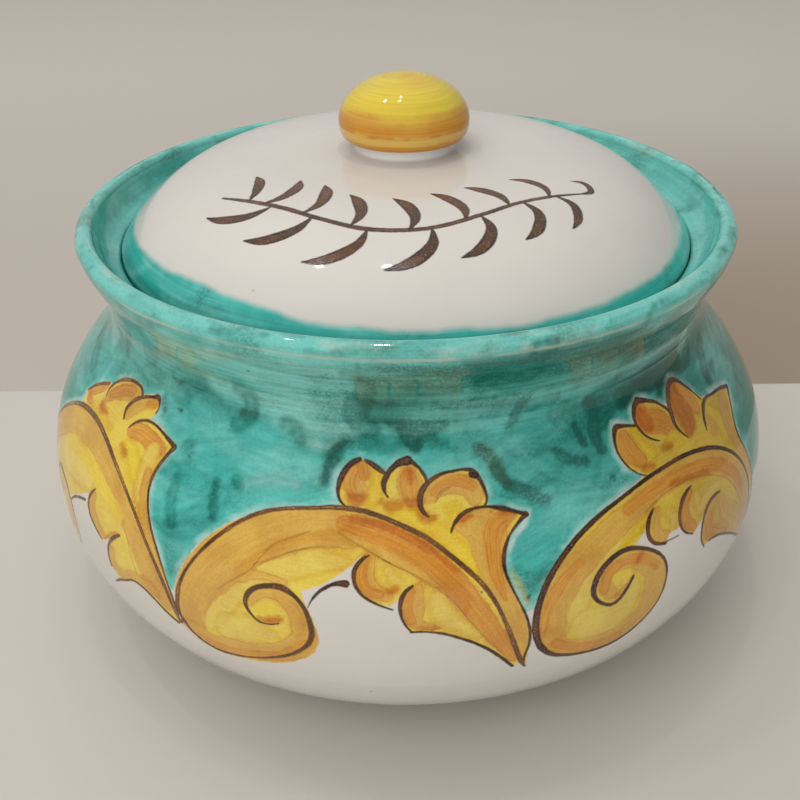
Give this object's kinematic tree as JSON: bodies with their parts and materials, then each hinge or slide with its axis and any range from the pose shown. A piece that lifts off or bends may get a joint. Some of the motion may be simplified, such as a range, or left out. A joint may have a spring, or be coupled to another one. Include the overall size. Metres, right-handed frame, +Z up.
{
  "type": "biscuit jar",
  "caption": "Low round-bellied ceramic jar with a flared rim and a domed lift-off lid with a ball knob, painted with leafy scrolls on a turquoise ground.",
  "frame": {"origin": "centre of the foot ring's underside, where the jar stands", "axes": "+Z up along the axis of the wheel that the jar, lid and knob are turned on; -Y towards the front, where the middle scroll of the painted chain and the lid's leaf spray are"},
  "size_m": [0.259, 0.259, 0.1818],
  "materials": {
    "painted_glaze": "glossy tin glaze, white below and brushed turquoise above, with a painted chain of yellow and orange leafy scrolls outlined in brown; bare biscuit clay on the foot ring",
    "white_glaze": "glossy white tin glaze with a brushed turquoise edge and a painted brown leaf spray",
    "yellow_glaze": "glossy tin glaze banded on the wheel in yellow over orange, white on the neck"
  },
  "bodies": {
    "jar": {"jar_body": "painted_glaze"},
    "lid": {"lid": "white_glaze", "knob": "yellow_glaze"}
  },
  "joints": [
    {"name": "lid_lift", "type": "slide", "parent": "jar", "child": "lid", "axis": [0, 0, 1], "range_m": [0, 0.15]}
  ]
}
